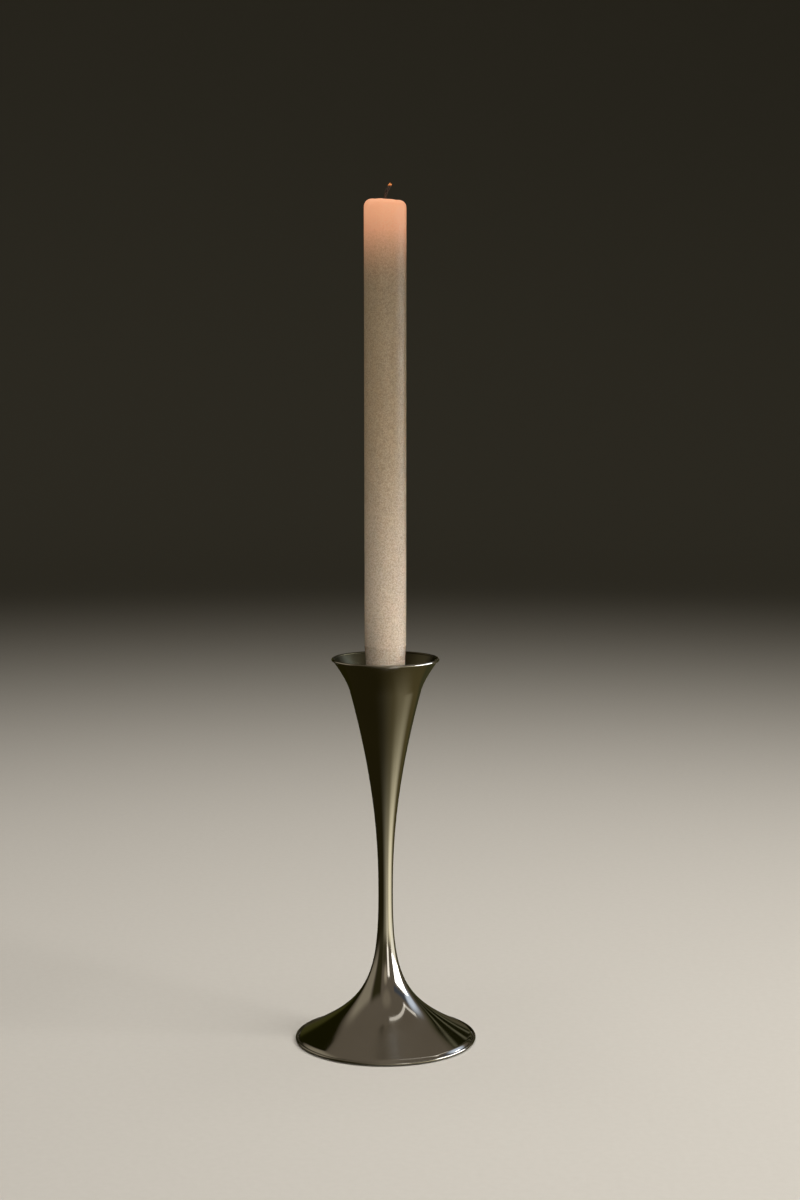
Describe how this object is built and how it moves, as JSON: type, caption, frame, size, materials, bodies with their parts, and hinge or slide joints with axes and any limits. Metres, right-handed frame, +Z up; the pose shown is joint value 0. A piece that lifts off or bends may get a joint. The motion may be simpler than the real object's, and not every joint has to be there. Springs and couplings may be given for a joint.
{
  "type": "candlestick",
  "caption": "Weighted trumpet candlestick in polished silver with a flared cup and foot on a slim stem, holding a tall dinner candle that lifts out.",
  "frame": {"origin": "centre of the felt's underside, on the surface that the candlestick stands on", "axes": "+Z up along the stem and the candle; the burnt wick leans to +X"},
  "size_m": [0.097, 0.097, 0.4548],
  "materials": {
    "silver": "mirror-polished silver plate",
    "steel": "zinc-plated",
    "brass": "turned",
    "iron": "rough cast",
    "felt": "wool felt",
    "wax": "smooth candle wax with a fine grain",
    "wick": "charred cotton braid"
  },
  "bodies": {
    "holder": {"foot_shell": "silver", "foot_wire": "silver", "stem": "silver", "cup_shell": "silver", "lip_wire": "silver", "candle_socket": "silver", "socket_screw": "steel", "screw_washer": "steel", "spacer_tube": "steel", "cup_plug": "brass", "foot_plug": "brass", "ballast": "iron", "clamp_washer": "steel", "spring_washer": "steel", "hex_nut": "steel", "base_plate": "steel", "felt_pad": "felt"},
    "candle": {"candle": "wax", "wick": "wick"}
  },
  "joints": [
    {"name": "candle_lift", "type": "slide", "parent": "holder", "child": "candle", "axis": [0, 0, 1], "range_m": [0, 0.05]}
  ]
}
